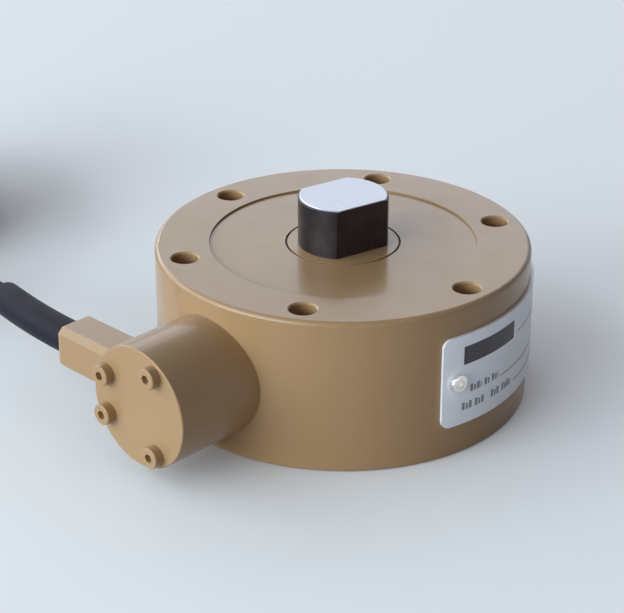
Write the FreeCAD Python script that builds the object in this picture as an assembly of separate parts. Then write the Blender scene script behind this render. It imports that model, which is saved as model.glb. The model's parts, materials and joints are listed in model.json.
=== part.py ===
"""A low-profile strain gauge load cell with a side terminal housing and a cable.

All sizes are millimetres. +Z is up and is the loading axis, and the cell rests on z = 0.
The terminal housing points along -Y, and the cable leaves its gland along -X.
Azimuths are degrees from +X, anticlockwise seen from above.
"""
import FreeCAD, Part
import math
import os
from FreeCAD import Vector

UP = Vector(0, 0, 1)
CENTRE = Vector(0, 0, 0)
OUT = Vector(0, -1, 0)
ALONG = Vector(-1, 0, 0)

# Fits, and how far a cutting tool runs past the face that it opens
part_clearance = 0.05
thread_clearance = 0.05
cut_margin = 1.0
nearly_parallel = 0.999

# Spring element: outer ring, hub and radial shear webs in one piece
body_diameter = 100.0
body_height = 42.0
rim_rounding = 1.2
foot_chamfer = 0.5
hub_diameter = 34.0
hub_foot_gap = 0.8
hub_shoulder_width = 2.2
hub_neck_height = 3.5
web_count = 4
web_first_azimuth = 45.0
web_width = 9.0
web_thickness = 2.5
web_corner_radius = 2.2
space_under_webs = 4.0
space_over_webs = 7.0

# Mounting holes through the ring
mount_count = 6
mount_hole_diameter = 7.0
mount_hole_inset = 7.0
mount_edge_break = 0.4

# Top cover let into the ring, inside the mounting holes
top_cover_wall = 4.0
top_cover_thickness = 1.5
top_cover_step = 0.5
seal_gap = 0.6
seal_top_drop = 0.6

# Bottom cover let into the ring, on a ledge that takes its screws
bottom_cover_wall = 1.5
bottom_cover_thickness = 4.0
bottom_cover_step = 0.5
bottom_gasket_thickness = 0.5
bottom_ledge_width = 6.0
bottom_screw_count = 6
bottom_screw_first_azimuth = 30.0
bottom_screw_diameter = 2.5
bottom_screw_head = 4.7
bottom_screw_length = 8.0

# Load button screwed into the hub
button_diameter = 24.0
button_height = 13.5
button_across_flats = 18.0
button_flat_azimuth = 347.0
button_edge_break = 0.6
button_thread_diameter = 16.0
button_thread_length = 18.0
button_hole_run_out = 1.5

# Strain gauges in the bores that thin the webs, and the ring board that joins them
gauge_side = 7.0
gauge_thickness = 0.3
gauge_corner_gap = 1.3
ring_board_edge_gap = 1.0
ring_board_thickness = 1.0

# Terminal housing on the side of the ring
housing_drop = 0.7
housing_diameter = 32.6
housing_length = 23.6
housing_wall = 3.1
housing_floor = 4.0
spigot_length = 8.0
spigot_wall = 2.3
spigot_screw_wall = 1.0
o_ring_inset = 3.5
o_ring_width = 1.8
o_ring_depth = 1.1
housing_screw_inset = 3.2
housing_screw_length = 10.0

# Terminal cover and its screws
cover_thickness = 2.5
cover_edge_radius = 0.4
cover_screw_inset = 3.7
cover_screw_angles = (61.0, 154.0, 206.0, 299.0)
cover_screw_length = 8.0
cover_boss_diameter = 6.4
cover_boss_length = 6.7
cover_gasket_thickness = 0.5
cover_gasket_inset = 0.8
cover_gasket_margin = 3.1

# M3 socket head screws
m3_diameter = 3.0
m3_clearance_hole = 3.3
m3_head_diameter = 5.6
m3_head_height = 2.6
m3_head_edge = 0.4
m3_socket = 2.2
m3_socket_depth = 1.4

# M2 pan head screws that hold the boards on their spacers
m2_diameter = 2.0
m2_head_diameter = 3.8
m2_head_height = 1.4
m2_slot_width = 0.5
m2_slot_depth = 0.7
m2_edge_inset = 2.0
spacer_diameter = 4.0
board_thickness = 1.6
screw_hole_run_out = 0.5

# Bridge board on a flat in the inner wall of the ring
bridge_board_width = 20.0
bridge_board_top_gap = 2.7
bridge_flat_depth = 0.5
bridge_flat_margin = 2.0
bridge_spacer_length = 2.0
bridge_screw_length = 7.0
resistor_length = 3.2
resistor_width = 1.6
resistor_height = 0.9
resistor_places = ((-3.0, -5.5), (-3.0, 5.5), (3.0, -5.5), (3.0, 5.5))

# Terminal board, its pins and the wires between the two boards
terminal_board_side_gap = 3.2
terminal_board_head_gap = 0.7
terminal_spacer_length = 2.4
terminal_screw_length = 6.0
pin_steps = (-1.5, -0.5, 0.5, 1.5)
pin_side = 1.0
pin_tip = 2.0
pin_bore_margin = 1.2
core_spacing = 1.2
wire_diameter = 1.0
plug_length = 6.0

# Cable gland on the side of the housing
gland_side = 12.0
gland_edge_chamfer = 1.7
gland_end_rounding = 2.2
gland_length = 23.6
gland_board_gap = 3.0
gland_spigot_wall = 0.85
gland_thread_diameter = 9.7
sleeve_socket_depth = 11.5
sleeve_socket_clearance = 0.25
grommet_length = 6.0
gland_washer_thickness = 1.0
gland_nut_length = 5.0
gland_nut_clearance = 0.3

# Cable, its sleeve, and the coil of the length that is put away
cable_diameter = 6.4
cable_arc_share = 0.45
sleeve_thickness = 1.2
sleeve_depth_in_gland = 11.0
sleeve_reach = 33.0
coil_pitch = 6.6
coil_turns_across = 2
coil_layers = 6
coil_middle_diameter = 66.0
coil_edge_radius = 3.0
coil_tail_radius = 23.5
coil_tail_start = 90.0
coil_tail_sweep = 70.0
lead_diameter = 1.3
lead_spacing = 1.5
lead_sweep = 75.0

# Nameplate bent round the ring
plate_azimuth = 22.3
plate_length = 69.0
plate_bottom_margin = 9.0
plate_top_margin = 7.8
plate_thickness = 0.8
plate_corner_radius = 2.5
plate_screw_inset = 4.3
plate_screw_head = 5.0
plate_screw_head_height = 1.8
plate_screw_diameter = 2.0
plate_screw_depth = 2.6
plate_recess_depth = 1.0

# Radii and diameters worked out from the sizes above
body_radius = body_diameter / 2
mount_circle_diameter = body_diameter - 2 * mount_hole_inset
inside_mounts = mount_circle_diameter - mount_hole_diameter
top_cover_diameter = inside_mounts - 2 * top_cover_wall
bottom_cover_diameter = inside_mounts - 2 * bottom_cover_wall
pocket_diameter = bottom_cover_diameter - 2 * bottom_ledge_width
pocket_radius = pocket_diameter / 2
bottom_screw_circle = bottom_cover_diameter - bottom_ledge_width
hub_radius = hub_diameter / 2
hub_neck_diameter = hub_diameter - 2 * hub_shoulder_width
gauge_bore_diameter = gauge_side * math.sqrt(2) + 2 * gauge_corner_gap
gauge_centre_radius = (pocket_radius + hub_radius) / 2
ring_board_inner_diameter = hub_diameter + 2 * ring_board_edge_gap
ring_board_outer_diameter = pocket_diameter - 2 * ring_board_edge_gap

# Levels
disc_top_z = body_height - top_cover_step
disc_floor_z = disc_top_z - top_cover_thickness
hub_shoulder_z = disc_top_z - hub_neck_height
bottom_cover_top_z = bottom_cover_step + bottom_cover_thickness
bottom_ledge_z = bottom_cover_top_z + bottom_gasket_thickness
hub_foot_z = bottom_cover_top_z + hub_foot_gap
web_floor_z = bottom_ledge_z + space_under_webs
web_top_z = disc_floor_z - space_over_webs
gauge_z = (web_floor_z + web_top_z) / 2
housing_z = body_height / 2 - housing_drop
bridge_board_height = 2 * (web_top_z - bridge_board_top_gap - housing_z)
plate_bottom_z = plate_bottom_margin
plate_height = body_height - plate_top_margin - plate_bottom_margin
plate_screw_z = plate_bottom_z + plate_height / 2

# The terminal housing's radii and its places along Y
housing_radius = housing_diameter / 2
cavity_diameter = housing_diameter - 2 * housing_wall
cavity_radius = cavity_diameter / 2
cover_screw_radius = housing_radius - cover_screw_inset
cover_gasket_diameter = housing_diameter - 2 * cover_gasket_inset
cover_gasket_inner_diameter = 2 * (cover_screw_radius - cover_gasket_margin)
housing_screw_offset = cavity_radius - housing_screw_inset
spigot_diameter = 2 * (housing_screw_offset - m3_diameter / 2 - spigot_screw_wall)
wire_bore_diameter = spigot_diameter - 2 * spigot_wall
pin_pitch = (wire_bore_diameter / 2 - pin_bore_margin) / pin_steps[-1]
cover_face_y = -(body_radius + housing_length)
housing_face_y = cover_face_y + cover_thickness
cavity_floor_y = -(body_radius + housing_floor)
spigot_end_y = -(body_radius - spigot_length)
o_ring_y = -(body_radius - o_ring_inset)
bridge_flat_y = -(pocket_radius - bridge_flat_depth)
bridge_board_y = bridge_flat_y + bridge_spacer_length
bridge_board_face_y = bridge_board_y + board_thickness
terminal_board_width = cavity_diameter - 2 * terminal_board_side_gap
terminal_board_height = 2 * (housing_screw_offset - m3_head_diameter / 2 - terminal_board_head_gap)
terminal_board_back_y = cavity_floor_y - terminal_spacer_length
terminal_board_face_y = terminal_board_back_y - board_thickness
pin_length = board_thickness + gland_board_gap + pin_tip

# The gland's places along X, outwards from the housing
gland_y = terminal_board_face_y - gland_board_gap
gland_end_x = -(housing_radius + gland_length)
gland_shoulder_x = gland_end_x + sleeve_socket_depth
gland_spigot_diameter = gland_thread_diameter + 2 * gland_spigot_wall
sleeve_diameter = cable_diameter + 2 * sleeve_thickness
sleeve_socket_diameter = sleeve_diameter + 2 * sleeve_socket_clearance
gland_nut_bore = cable_diameter + 2 * gland_nut_clearance
sleeve_start_x = gland_end_x + sleeve_depth_in_gland
sleeve_end_x = gland_end_x - sleeve_reach

# The cable's route, from inside the gland down to the coil's bottom layer
cable_floor_z = cable_diameter / 2
cable_route = (
    Vector(gland_end_x + 22.0, gland_y, housing_z),
    Vector(gland_end_x + 1.0, gland_y, housing_z),
    Vector(gland_end_x - 18.6, gland_y + 1.0, housing_z - 0.1),
    Vector(gland_end_x - 40.1, gland_y + 4.4, housing_z),
    Vector(gland_end_x - 55.6, gland_y + 6.6, cable_floor_z + 14.2),
    Vector(gland_end_x - 69.6, gland_y + 6.2, cable_floor_z + 9.2),
    Vector(gland_end_x - 82.6, gland_y + 3.4, cable_floor_z + 4.6),
    Vector(gland_end_x - 95.1, gland_y - 0.6, cable_floor_z + 1.2),
    Vector(gland_end_x - 107.6, gland_y - 3.6, cable_floor_z),
    Vector(gland_end_x - 119.6, gland_y - 3.6, cable_floor_z),
)
cable_start = cable_route[0]
cable_end = cable_route[-1]

# The coil's radii and centre: its outer turn runs on from the end of the route
coil_outer_turn = coil_middle_diameter / 2 + coil_pitch * (coil_turns_across - 1) / 2
coil_inner_turn = coil_outer_turn - coil_pitch * (coil_turns_across - 1)
coil_outer_radius = coil_outer_turn + cable_diameter / 2
coil_inner_radius = coil_inner_turn - cable_diameter / 2
coil_height = coil_pitch * (coil_layers - 1) + cable_diameter
coil_stub_length = math.sqrt((coil_outer_radius + cable_diameter / 2) ** 2 - coil_outer_turn ** 2)
coil_centre = Vector(cable_end.x - coil_stub_length, cable_end.y + coil_outer_turn, 0)


def cylinder(diameter, start, direction, length):
    """A solid rod from start along direction."""
    return Part.makeCylinder(diameter / 2, length, start, direction)


def tube(outer, inner, start, direction, length):
    """A tube from start along direction."""
    return cylinder(outer, start, direction, length).cut(cylinder(inner, start, direction, length))


def block(x0, x1, y0, y1, z0, z1):
    """A box between two opposite corners."""
    return Part.makeBox(x1 - x0, y1 - y0, z1 - z0, Vector(x0, y0, z0))


def drilled(diameter, mouth, direction, depth):
    """A drill's solid: it starts outside the mouth by the cut margin and ends at a depth."""
    return cylinder(diameter, mouth - direction * cut_margin, direction, depth + cut_margin)


def polar(radius, azimuth, z=0.0):
    """The point at a radius and an azimuth from the loading axis."""
    turn = math.radians(azimuth)
    return Vector(radius * math.cos(turn), radius * math.sin(turn), z)


def turned(profile):
    """A solid turned about the loading axis from (radius, z) corners."""
    corners = [Vector(r, 0, z) for r, z in profile]
    face = Part.Face(Part.makePolygon(corners + corners[:1]))
    return face.revolve(CENTRE, UP, 360)


def spun(shape, azimuth):
    """A copy turned about the loading axis."""
    copy = shape.copy()
    copy.rotate(CENTRE, UP, azimuth)
    return copy


def at_housing(across, y, up):
    """A point by its place across and above the terminal housing's axis."""
    return Vector(across, y, housing_z + up)


def at_gland(x):
    """A point on the gland's axis."""
    return Vector(x, gland_y, housing_z)


def circles(shape, keep):
    """The round edges of a shape whose centre passes a test."""
    return [e for e in shape.Edges if isinstance(e.Curve, Part.Circle) and keep(e.CenterOfMass)]


def edges_parallel(shape, direction, keep):
    """The straight edges of a shape along a direction whose middle passes a test."""
    straight = [e for e in shape.Edges if isinstance(e.Curve, Part.Line)]
    along = [e for e in straight if abs(e.Curve.Direction.dot(direction)) > nearly_parallel]
    return [e for e in along if keep(e.CenterOfMass)]


def evenly(count, first=0.0):
    """Azimuths of a count of things spread evenly round the axis."""
    return [first + 360.0 / count * i for i in range(count)]


def web_azimuths():
    return evenly(web_count, web_first_azimuth)


def bottom_screw_azimuths():
    return evenly(bottom_screw_count, bottom_screw_first_azimuth)


def plate_screw_azimuths():
    half_span = math.degrees((plate_length / 2 - plate_screw_inset) / body_radius)
    return {"left": plate_azimuth - half_span, "right": plate_azimuth + half_span}


def cover_screw_points(y):
    points = []
    for angle in cover_screw_angles:
        turn = math.radians(angle)
        across = cover_screw_radius * math.cos(turn)
        points.append(at_housing(across, y, cover_screw_radius * math.sin(turn)))
    return points


def housing_screw_points(y):
    return [at_housing(0, y, side * housing_screw_offset) for side in (1, -1)]


def board_screw_points(width, y):
    offset = width / 2 - m2_edge_inset
    return [at_housing(side * offset, y, 0) for side in (1, -1)]


def ring_blank():
    """The outer ring, open in the middle, with its cover recesses and rounded rim."""
    outer = cylinder(body_diameter, CENTRE, UP, body_height)
    outer = outer.makeFillet(rim_rounding, circles(outer, lambda point: point.z > body_height / 2))
    outer = outer.makeChamfer(foot_chamfer, circles(outer, lambda point: point.z < foot_chamfer))
    top_recess = cylinder(top_cover_diameter + 2 * part_clearance, Vector(0, 0, disc_floor_z), UP,
                          body_height)
    bottom_recess = cylinder(bottom_cover_diameter + 2 * part_clearance, CENTRE, UP, bottom_ledge_z)
    pocket = cylinder(pocket_diameter, CENTRE, UP, body_height)
    return outer.cut([top_recess, bottom_recess, pocket])


def shear_webs():
    """The radial beams between hub and ring."""
    beam = block(0, pocket_radius + cut_margin, -web_width / 2, web_width / 2, web_floor_z, web_top_z)
    return [spun(beam, azimuth) for azimuth in web_azimuths()]


def gauge_bore_tools():
    """A round bore from each side of every web, which leaves the thin wall that the gauges measure."""
    tools = []
    for side in (1, -1):
        floor = Vector(gauge_centre_radius, side * web_thickness / 2, gauge_z)
        depth = (web_width - web_thickness) / 2 + web_corner_radius
        bore = cylinder(gauge_bore_diameter, floor, Vector(0, side, 0), depth)
        tools += [spun(bore, azimuth) for azimuth in web_azimuths()]
    return tools


def rounded_corners(element):
    """Rounds the upright corners where the beams run into the ring and the hub."""
    def in_corner(point):
        radius = math.hypot(point.x, point.y)
        at_wall = min(abs(radius - pocket_radius), abs(radius - hub_radius)) < web_corner_radius / 2
        return at_wall and abs(point.z - gauge_z) < web_corner_radius
    return element.makeFillet(web_corner_radius, edges_parallel(element, UP, in_corner))


def mounting_hole_tools():
    tools = []
    for azimuth in evenly(mount_count):
        foot = polar(mount_circle_diameter / 2, azimuth)
        tools.append(cylinder(mount_hole_diameter, foot, UP, body_height))
        top = polar(mount_circle_diameter / 2, azimuth, body_height - mount_edge_break)
        bore = mount_hole_diameter / 2
        tools.append(Part.makeCone(bore, bore + mount_edge_break, mount_edge_break, top, UP))
    return tools


def housing_port_tools():
    """The ring's port for the housing's spigot, its wire bore and its two tapped holes."""
    port = drilled(spigot_diameter + 2 * part_clearance, at_housing(0, -body_radius, 0), -OUT,
                   spigot_length + part_clearance)
    bore = cylinder(wire_bore_diameter, at_housing(0, -body_radius, 0), -OUT,
                    body_radius + bridge_flat_y + cut_margin)
    tap_depth = housing_screw_length - housing_floor + screw_hole_run_out
    taps = [drilled(m3_diameter + 2 * thread_clearance, point, -OUT, tap_depth)
            for point in housing_screw_points(-body_radius)]
    return [port, bore] + taps


def bridge_flat_tools():
    """The flat in the ring's inner wall for the bridge board, and its two tapped holes."""
    half_width = bridge_board_width / 2 + bridge_flat_margin
    flat = block(-half_width, half_width, bridge_flat_y, bridge_board_face_y, web_floor_z, web_top_z)
    depth = bridge_screw_length - board_thickness - bridge_spacer_length + screw_hole_run_out
    taps = [drilled(m2_diameter + 2 * thread_clearance, point, OUT, depth)
            for point in board_screw_points(bridge_board_width, bridge_flat_y)]
    return [flat] + taps


def nameplate_hole_tools():
    tools = []
    for azimuth in plate_screw_azimuths().values():
        mouth = polar(body_radius, azimuth, plate_screw_z)
        depth = plate_screw_depth + part_clearance
        tools.append(drilled(plate_screw_diameter + 2 * part_clearance, mouth, polar(-1, azimuth), depth))
    return tools


def spring_element():
    """The one-piece ring, hub and webs, with every hole that the other parts need."""
    hub = turned([
        (0, hub_foot_z),
        (hub_radius, hub_foot_z),
        (hub_radius, hub_shoulder_z),
        (hub_neck_diameter / 2, hub_shoulder_z),
        (hub_neck_diameter / 2, disc_top_z),
        (0, disc_top_z),
    ])
    element = ring_blank().fuse([hub] + shear_webs()).removeSplitter()
    element = rounded_corners(element)
    button_tap = drilled(button_thread_diameter + 2 * thread_clearance, Vector(0, 0, disc_top_z), -UP,
                         button_thread_length + button_hole_run_out)
    cover_taps = [drilled(bottom_screw_diameter + 2 * thread_clearance,
                          polar(bottom_screw_circle / 2, azimuth, bottom_ledge_z), UP, bottom_screw_length)
                  for azimuth in bottom_screw_azimuths()]
    tools = [button_tap] + cover_taps + gauge_bore_tools() + mounting_hole_tools()
    return element.cut(tools + housing_port_tools() + bridge_flat_tools() + nameplate_hole_tools())


def load_button():
    """The hardened button: a round head with two wrench flats on a threaded shank."""
    head = cylinder(button_diameter, Vector(0, 0, disc_top_z), UP, button_height)
    head = head.makeChamfer(button_edge_break, circles(head, lambda point: point.z > body_height))
    keep = block(-button_across_flats / 2, button_across_flats / 2, -button_diameter, button_diameter,
                 disc_top_z, disc_top_z + button_height)
    head = head.common(spun(keep, button_flat_azimuth))
    return head.fuse(cylinder(button_thread_diameter, Vector(0, 0, disc_top_z), -UP, button_thread_length))


def top_cover():
    inner = hub_neck_diameter + 2 * seal_gap
    return tube(top_cover_diameter, inner, Vector(0, 0, disc_floor_z), UP, top_cover_thickness)


def dust_seal():
    """A rubber ring on the hub's shoulder, with a lip that stands in the gap round the hub."""
    neck = hub_neck_diameter / 2 + part_clearance
    lip = hub_neck_diameter / 2 + seal_gap - part_clearance
    return turned([
        (neck, hub_shoulder_z),
        (hub_radius, hub_shoulder_z),
        (hub_radius, disc_floor_z),
        (lip, disc_floor_z),
        (lip, disc_top_z - seal_top_drop),
        (neck, disc_top_z - seal_top_drop),
    ])


def bottom_screw_outline(azimuth, growth):
    """The outline of one countersunk screw in the bottom cover, grown all round."""
    head = bottom_screw_head / 2 + growth
    shank = bottom_screw_diameter / 2 + growth
    foot = polar(bottom_screw_circle / 2, azimuth, bottom_cover_step)
    cone = Part.makeCone(head, shank, head - shank, foot, UP)
    return cone.fuse(cylinder(2 * shank, foot, UP, bottom_screw_length))


def bottom_gasket():
    gasket = tube(bottom_cover_diameter, pocket_diameter, Vector(0, 0, bottom_cover_top_z), UP,
                  bottom_gasket_thickness)
    return gasket.cut([bottom_screw_outline(azimuth, part_clearance) for azimuth in bottom_screw_azimuths()])


def bottom_cover():
    cover = cylinder(bottom_cover_diameter, Vector(0, 0, bottom_cover_step), UP, bottom_cover_thickness)
    return cover.cut([bottom_screw_outline(azimuth, part_clearance) for azimuth in bottom_screw_azimuths()])


def bottom_cover_screws():
    return Part.makeCompound([bottom_screw_outline(azimuth, 0) for azimuth in bottom_screw_azimuths()])


def strain_gauges():
    """Two shear gauges on each web, one on either face."""
    gauges = []
    half = gauge_side / 2
    for azimuth in web_azimuths():
        for side in (1, -1):
            faces = sorted((side * web_thickness / 2, side * (web_thickness / 2 + gauge_thickness)))
            gauge = block(gauge_centre_radius - half, gauge_centre_radius + half, faces[0], faces[1],
                          gauge_z - half, gauge_z + half)
            gauges.append(spun(gauge, azimuth))
    return gauges


def ring_board():
    return tube(ring_board_outer_diameter, ring_board_inner_diameter, Vector(0, 0, web_top_z), UP,
                ring_board_thickness)


def board(width, height, y):
    """A circuit board square to the housing's axis, with its two screw holes."""
    plate = block(-width / 2, width / 2, y, y + board_thickness, housing_z - height / 2,
                  housing_z + height / 2)
    hole = m2_diameter + 2 * part_clearance
    return plate.cut([cylinder(hole, point, -OUT, board_thickness) for point in board_screw_points(width, y)])


def spacers(width, y, length):
    bore = m2_diameter + 2 * part_clearance
    return Part.makeCompound([tube(spacer_diameter, bore, point, -OUT, length)
                              for point in board_screw_points(width, y)])


def pan_head_screw(seat, heading, length):
    """A slotted M2 screw with its head on a seat and its shank along heading."""
    head = cylinder(m2_head_diameter, seat, -heading, m2_head_height)
    slot_middle = seat - heading * (m2_head_height - m2_slot_depth / 2)
    slot = block(slot_middle.x - m2_slot_width / 2, slot_middle.x + m2_slot_width / 2,
                 slot_middle.y - m2_slot_depth / 2, slot_middle.y + m2_slot_depth / 2,
                 slot_middle.z - m2_head_diameter, slot_middle.z + m2_head_diameter)
    return head.cut(slot).fuse(cylinder(m2_diameter, seat, heading, length))


def pan_head_screws(width, seat_y, heading, length):
    return Part.makeCompound([pan_head_screw(point, heading, length)
                              for point in board_screw_points(width, seat_y)])


def bridge_board():
    return board(bridge_board_width, bridge_board_height, bridge_board_y)


def bridge_resistors():
    """Four flat resistors that trim the bridge."""
    chips = []
    for across, up in resistor_places:
        middle = at_housing(across, bridge_board_face_y, up)
        chips.append(block(middle.x - resistor_length / 2, middle.x + resistor_length / 2, middle.y,
                           middle.y + resistor_height, middle.z - resistor_width / 2,
                           middle.z + resistor_width / 2))
    return Part.makeCompound(chips)


def pin_points(y):
    """The four pins' points on a slanting line: each pin is at the height of its cable core."""
    return [at_housing(step * pin_pitch, y, -step * core_spacing) for step in pin_steps]


def wire_rods(diameter, y, length):
    return [cylinder(diameter, point, -OUT, length) for point in pin_points(y)]


def bridge_wires():
    """Four wires through the housing's bore, from the bridge board to the terminal board."""
    length = bridge_board_y - terminal_board_back_y
    return Part.makeCompound(wire_rods(wire_diameter, terminal_board_back_y, length))


def bore_plug():
    """The rubber plug that seals the wires where they pass through the housing's bore."""
    start_y = spigot_end_y - plug_length
    plug = cylinder(wire_bore_diameter, at_housing(0, start_y, 0), -OUT, plug_length)
    return plug.cut(wire_rods(wire_diameter + 2 * part_clearance, start_y, plug_length))


def housing_blank():
    """The turned cup with its saddle foot, its spigot and the four bosses for the cover screws."""
    face = at_housing(0, housing_face_y, 0)
    saddle = cylinder(body_diameter + 2 * part_clearance, CENTRE, UP, body_height + housing_diameter)
    cup = cylinder(housing_diameter, face, -OUT, -housing_face_y).cut(saddle)
    cup = cup.fuse(cylinder(spigot_diameter, at_housing(0, cavity_floor_y, 0), -OUT,
                            spigot_end_y - cavity_floor_y))
    cup = cup.cut(cylinder(cavity_diameter, face, -OUT, cavity_floor_y - housing_face_y))
    within_wall = cylinder(housing_diameter - housing_wall / 2, face, -OUT, cover_boss_length)
    bosses = [cylinder(cover_boss_diameter, point, -OUT, cover_boss_length).common(within_wall)
              for point in cover_screw_points(housing_face_y)]
    return cup.fuse(bosses)


def terminal_housing():
    """The housing's cup with its seal seats, its tapped holes and the port for the gland."""
    face = at_housing(0, housing_face_y, 0)
    gasket_seat = cylinder(cover_gasket_diameter + 2 * part_clearance, face, -OUT, cover_gasket_thickness)
    tap_depth = cover_screw_length - cover_thickness + screw_hole_run_out
    cover_taps = [cylinder(m3_diameter + 2 * thread_clearance, point, -OUT, tap_depth)
                  for point in cover_screw_points(housing_face_y)]
    ring_holes = [drilled(m3_clearance_hole, point, -OUT, housing_floor + body_radius)
                  for point in housing_screw_points(cavity_floor_y)]
    wire_bore = drilled(wire_bore_diameter, at_housing(0, cavity_floor_y, 0), -OUT, body_radius)
    o_ring_groove = tube(spigot_diameter + 2 * cut_margin, spigot_diameter - 2 * o_ring_depth,
                         at_housing(0, o_ring_y, 0), -OUT, o_ring_width)
    gland_port = cylinder(gland_spigot_diameter + 2 * part_clearance, at_gland(-housing_diameter), -ALONG,
                          housing_diameter)
    board_depth = terminal_screw_length - board_thickness - terminal_spacer_length + screw_hole_run_out
    board_taps = [drilled(m2_diameter + 2 * thread_clearance, point, -OUT, board_depth)
                  for point in board_screw_points(terminal_board_width, cavity_floor_y)]
    tools = [gasket_seat, wire_bore, o_ring_groove, gland_port] + cover_taps + ring_holes + board_taps
    return housing_blank().cut(tools)


def housing_o_ring():
    """The rubber ring in the spigot's groove, squeezed against the ring's port."""
    inner = spigot_diameter / 2 - o_ring_depth
    outer = spigot_diameter / 2 + part_clearance
    ring = tube(2 * outer, 2 * inner, at_housing(0, o_ring_y + part_clearance, 0), -OUT,
                o_ring_width - 2 * part_clearance)
    rims = [e for e in circles(ring, lambda point: True) if e.Curve.Radius > spigot_diameter / 2]
    return ring.makeFillet(o_ring_width / 4, rims)


def hexagon(across_flats, start, direction, length):
    """A six-sided bar of a size across its flats."""
    across = direction.cross(UP).normalize()
    up = across.cross(direction).normalize()
    reach = across_flats / math.sqrt(3)
    corners = []
    for azimuth in evenly(6):
        turn = math.radians(azimuth)
        corners.append(start + across * (reach * math.cos(turn)) + up * (reach * math.sin(turn)))
    face = Part.Face(Part.makePolygon(corners + corners[:1]))
    return face.extrude(direction * length)


def cap_screw(seat, heading, length):
    """A socket head M3 screw with its head on a seat and its shank along heading."""
    head = cylinder(m3_head_diameter, seat, -heading, m3_head_height)
    top = seat - heading * m3_head_height
    head = head.makeFillet(m3_head_edge, circles(head, lambda point: point.isEqual(top, m3_head_edge)))
    socket_floor = top + heading * m3_socket_depth
    head = head.cut(hexagon(m3_socket, socket_floor, -heading, m3_socket_depth + cut_margin))
    return head.fuse(cylinder(m3_diameter, seat, heading, length))


def housing_screws():
    return Part.makeCompound([cap_screw(point, -OUT, housing_screw_length)
                              for point in housing_screw_points(cavity_floor_y)])


def cover_screws():
    return [cap_screw(point, -OUT, cover_screw_length) for point in cover_screw_points(cover_face_y)]


def terminal_pins():
    """Four square solder pins through the terminal board."""
    half = pin_side / 2
    return Part.makeCompound([block(point.x - half, point.x + half, point.y - pin_length, point.y,
                                    point.z - half, point.z + half)
                              for point in pin_points(terminal_board_back_y)])


def terminal_board():
    return board(terminal_board_width, terminal_board_height, terminal_board_face_y).cut(terminal_pins())


def cable_cores():
    """The cable's four cores, straight from its jacket to their pins."""
    cores = []
    for pin in pin_points(gland_y):
        start = Vector(cable_start.x, gland_y, pin.z)
        cores.append(cylinder(wire_diameter, start, -ALONG, pin.x - pin_side / 2 - start.x))
    return Part.makeCompound(cores)


def cover_gasket():
    gasket = tube(cover_gasket_diameter, cover_gasket_inner_diameter, at_housing(0, housing_face_y, 0), -OUT,
                  cover_gasket_thickness)
    return gasket.cut([cylinder(m3_clearance_hole, point, -OUT, cover_gasket_thickness)
                       for point in cover_screw_points(housing_face_y)])


def terminal_cover():
    cover = cylinder(housing_diameter, at_housing(0, cover_face_y, 0), -OUT, cover_thickness)
    rim = circles(cover, lambda point: point.y < cover_face_y + cover_thickness / 2)
    cover = cover.makeFillet(cover_edge_radius, rim)
    return cover.cut([drilled(m3_clearance_hole, point, -OUT, cover_thickness + cut_margin)
                      for point in cover_screw_points(cover_face_y)])


def gland_body():
    """A square block, bevelled and rounded at its end, on the housing's side by a saddle and a spigot."""
    half = gland_side / 2
    bar = block(gland_end_x, 0, gland_y - half, gland_y + half, housing_z - half, housing_z + half)
    bar = bar.makeChamfer(gland_edge_chamfer, edges_parallel(bar, ALONG, lambda point: True))
    end_edges = [e for e in bar.Edges if e.CenterOfMass.x < gland_end_x + gland_end_rounding / 2]
    bar = bar.makeFillet(gland_end_rounding, end_edges)
    bar = bar.cut(cylinder(housing_diameter + 2 * part_clearance, at_housing(0, cover_face_y, 0), -OUT,
                           housing_length + body_radius))
    spigot_root_x = -(housing_radius + housing_wall)
    bar = bar.fuse(cylinder(gland_spigot_diameter, at_gland(spigot_root_x), -ALONG,
                            -cavity_radius - spigot_root_x))
    socket = drilled(sleeve_socket_diameter, at_gland(gland_end_x), -ALONG, sleeve_socket_depth)
    thread = cylinder(gland_thread_diameter, at_gland(gland_shoulder_x), -ALONG, -gland_shoulder_x)
    return bar.cut([socket, thread])


def gland_insides():
    """The grommet, the washer and the threaded nut that squeeze the cable's jacket."""
    washer_x = gland_shoulder_x + grommet_length
    nut_x = washer_x + gland_washer_thickness
    jacket = cable_diameter + 2 * part_clearance
    nut_outer = gland_thread_diameter - 2 * thread_clearance
    return {
        "gland_grommet": tube(gland_thread_diameter, jacket, at_gland(gland_shoulder_x), -ALONG,
                              grommet_length),
        "gland_washer": tube(gland_thread_diameter, gland_nut_bore, at_gland(washer_x), -ALONG,
                             gland_washer_thickness),
        "gland_nut": tube(nut_outer, gland_nut_bore, at_gland(nut_x), -ALONG, gland_nut_length),
    }


def arc_radii(points):
    """The bend radius at each inner point: a share of the shorter run over the tangent of half the turn."""
    radii = []
    for before, here, after in zip(points, points[1:], points[2:]):
        run_in = here - before
        run_out = after - here
        shorter = min(run_in.Length, run_out.Length)
        radii.append(cable_arc_share * shorter / math.tan(run_in.getAngle(run_out) / 2))
    return radii


def rounded_path(points, radii):
    """Straight runs joined by tangent arcs of the given radii."""
    edges = []
    start = points[0]
    for before, here, after, radius in zip(points, points[1:], points[2:], radii):
        toward = (before - here).normalize()
        away = (after - here).normalize()
        half_turn = (here - before).getAngle(after - here) / 2
        reach = radius * math.tan(half_turn)
        arc_start = here + toward * reach
        arc_end = here + away * reach
        middle = here + (toward + away).normalize() * (radius / math.cos(half_turn) - radius)
        edges.append(Part.LineSegment(start, arc_start).toShape())
        edges.append(Part.Arc(arc_start, middle, arc_end).toShape())
        start = arc_end
    edges.append(Part.LineSegment(start, points[-1]).toShape())
    return Part.Wire(edges)


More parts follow.
